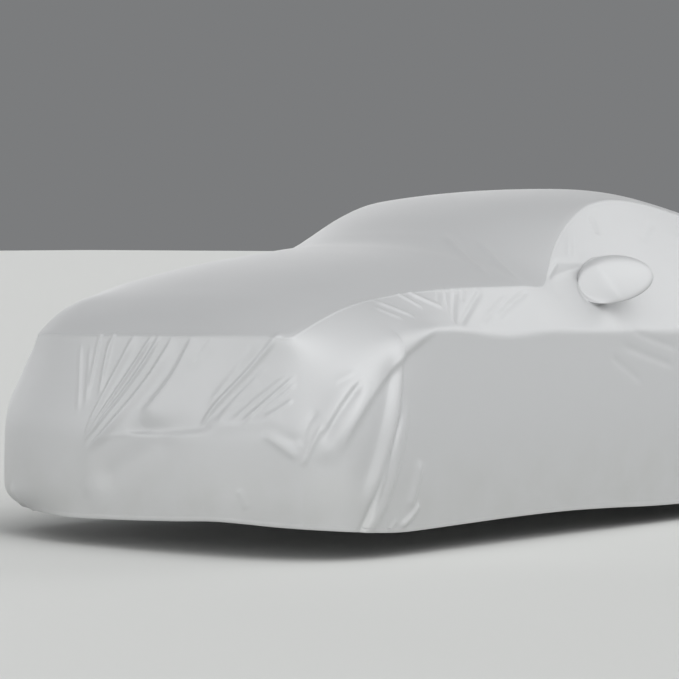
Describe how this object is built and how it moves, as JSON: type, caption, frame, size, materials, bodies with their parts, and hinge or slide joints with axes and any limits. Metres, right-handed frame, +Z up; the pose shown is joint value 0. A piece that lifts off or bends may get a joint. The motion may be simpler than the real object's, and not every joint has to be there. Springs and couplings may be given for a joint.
{
  "type": "car cover",
  "caption": "Fitted outdoor cloth cover for a low coupe: bonnet, windscreen and roof panel, skirt panels and door mirror pockets, open at the bottom.",
  "frame": {"origin": "the point under the roof of the cover that carries it, on its middle line, on the inner side of the cloth", "axes": "+Z up, -Y towards the front of the car, +X towards the car's left side"},
  "size_m": [2.0338, 4.8068, 1.3029],
  "materials": {
    "top_panel": "silver grey coated polyester taffeta, soft sheen",
    "front_panel": "silver grey coated polyester taffeta, soft sheen",
    "left_panel": "silver grey coated polyester taffeta, soft sheen",
    "right_panel": "silver grey coated polyester taffeta, soft sheen",
    "rear_panel": "silver grey coated polyester taffeta, soft sheen",
    "mirror_pocket_left": "silver grey coated polyester taffeta, soft sheen",
    "mirror_pocket_right": "silver grey coated polyester taffeta, soft sheen"
  },
  "bodies": {
    "root": {"top_panel": "top_panel", "front_panel": "front_panel", "left_panel": "left_panel", "right_panel": "right_panel", "rear_panel": "rear_panel", "mirror_pocket_left": "mirror_pocket_left", "mirror_pocket_right": "mirror_pocket_right"}
  },
  "joints": []
}
